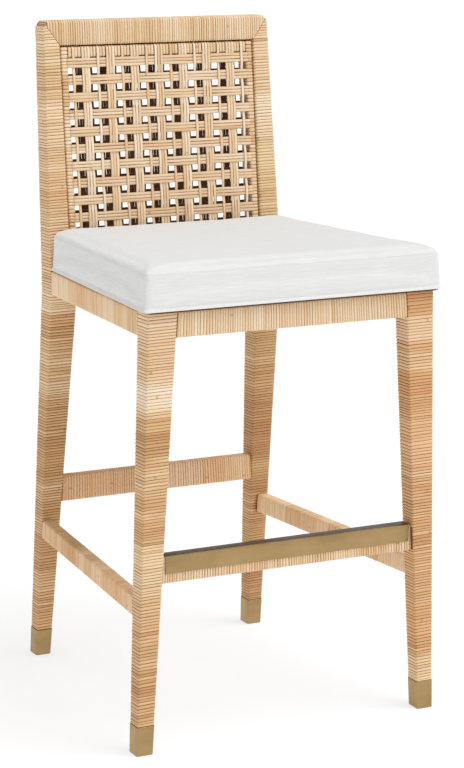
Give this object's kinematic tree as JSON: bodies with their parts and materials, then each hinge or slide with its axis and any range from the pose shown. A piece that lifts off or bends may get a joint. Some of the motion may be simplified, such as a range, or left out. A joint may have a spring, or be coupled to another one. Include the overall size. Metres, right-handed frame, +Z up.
{
  "type": "bar stool",
  "caption": "High stool with a low open-weave back, square tapered rattan-wound legs, boxed upholstered seat, brass-capped footrest and brass feet.",
  "frame": {"origin": "on the floor, midway across the width and midway from the front of the seat to the back feet", "axes": "+Z up, the front of the seat faces -Y, +X to the right of someone looking at the front"},
  "size_m": [0.5326, 0.5934, 1.104],
  "materials": {
    "rattan": "natural rattan strand, satin, wound edge to edge",
    "hardwood": "plain unfinished hardwood, under the wrapping",
    "brass": "satin antique brass, brushed",
    "seat_fabric": "off-white linen-look weave with slubs",
    "foam": "cut upholstery foam",
    "plywood": "sanded plywood",
    "dust_cloth": "black non-woven cambric",
    "screw": "zinc plated",
    "glide": "dark nylon"
  },
  "bodies": {
    "root": {"back_left_corner_block": "hardwood", "back_left_ferrule": "brass", "back_left_glide": "glide", "back_left_seat_screw": "screw", "back_post_left": "hardwood", "back_post_left_wrap": "rattan", "back_post_right": "hardwood", "back_post_right_wrap": "rattan", "back_right_corner_block": "hardwood", "back_right_ferrule": "brass", "back_right_glide": "glide", "back_right_seat_screw": "screw", "back_stretcher": "hardwood", "back_stretcher_wrap": "rattan", "crest_rail": "hardwood", "crest_rail_wrap": "rattan", "dust_cover": "dust_cloth", "footrest_plate": "brass", "footrest_stretcher": "hardwood", "footrest_stretcher_wrap": "rattan", "front_left_corner_block": "hardwood", "front_left_ferrule": "brass", "front_left_glide": "glide", "front_left_seat_screw": "screw", "front_leg_left": "hardwood", "front_leg_left_wrap": "rattan", "front_leg_right": "hardwood", "front_leg_right_wrap": "rattan", "front_right_corner_block": "hardwood", "front_right_ferrule": "brass", "front_right_glide": "glide", "front_right_seat_screw": "screw", "left_stretcher": "hardwood", "left_stretcher_wrap": "rattan", "panel_rail_bottom": "hardwood", "panel_rail_bottom_wrap": "rattan", "panel_rail_top": "hardwood", "panel_rail_top_wrap": "rattan", "panel_spacer": "hardwood", "panel_stile_left": "hardwood", "panel_stile_left_wrap": "rattan", "panel_stile_right": "hardwood", "panel_stile_right_wrap": "rattan", "right_stretcher": "hardwood", "right_stretcher_wrap": "rattan", "seat_cover": "seat_fabric", "seat_deck": "plywood", "seat_foam": "foam", "seat_rail_back": "hardwood", "seat_rail_back_wrap": "rattan", "seat_rail_front": "hardwood", "seat_rail_front_wrap": "rattan", "seat_rail_left": "hardwood", "seat_rail_left_wrap": "rattan", "seat_rail_right": "hardwood", "seat_rail_right_wrap": "rattan", "seat_welt": "seat_fabric", "weave_back": "rattan", "weave_front": "rattan"}
  },
  "joints": []
}
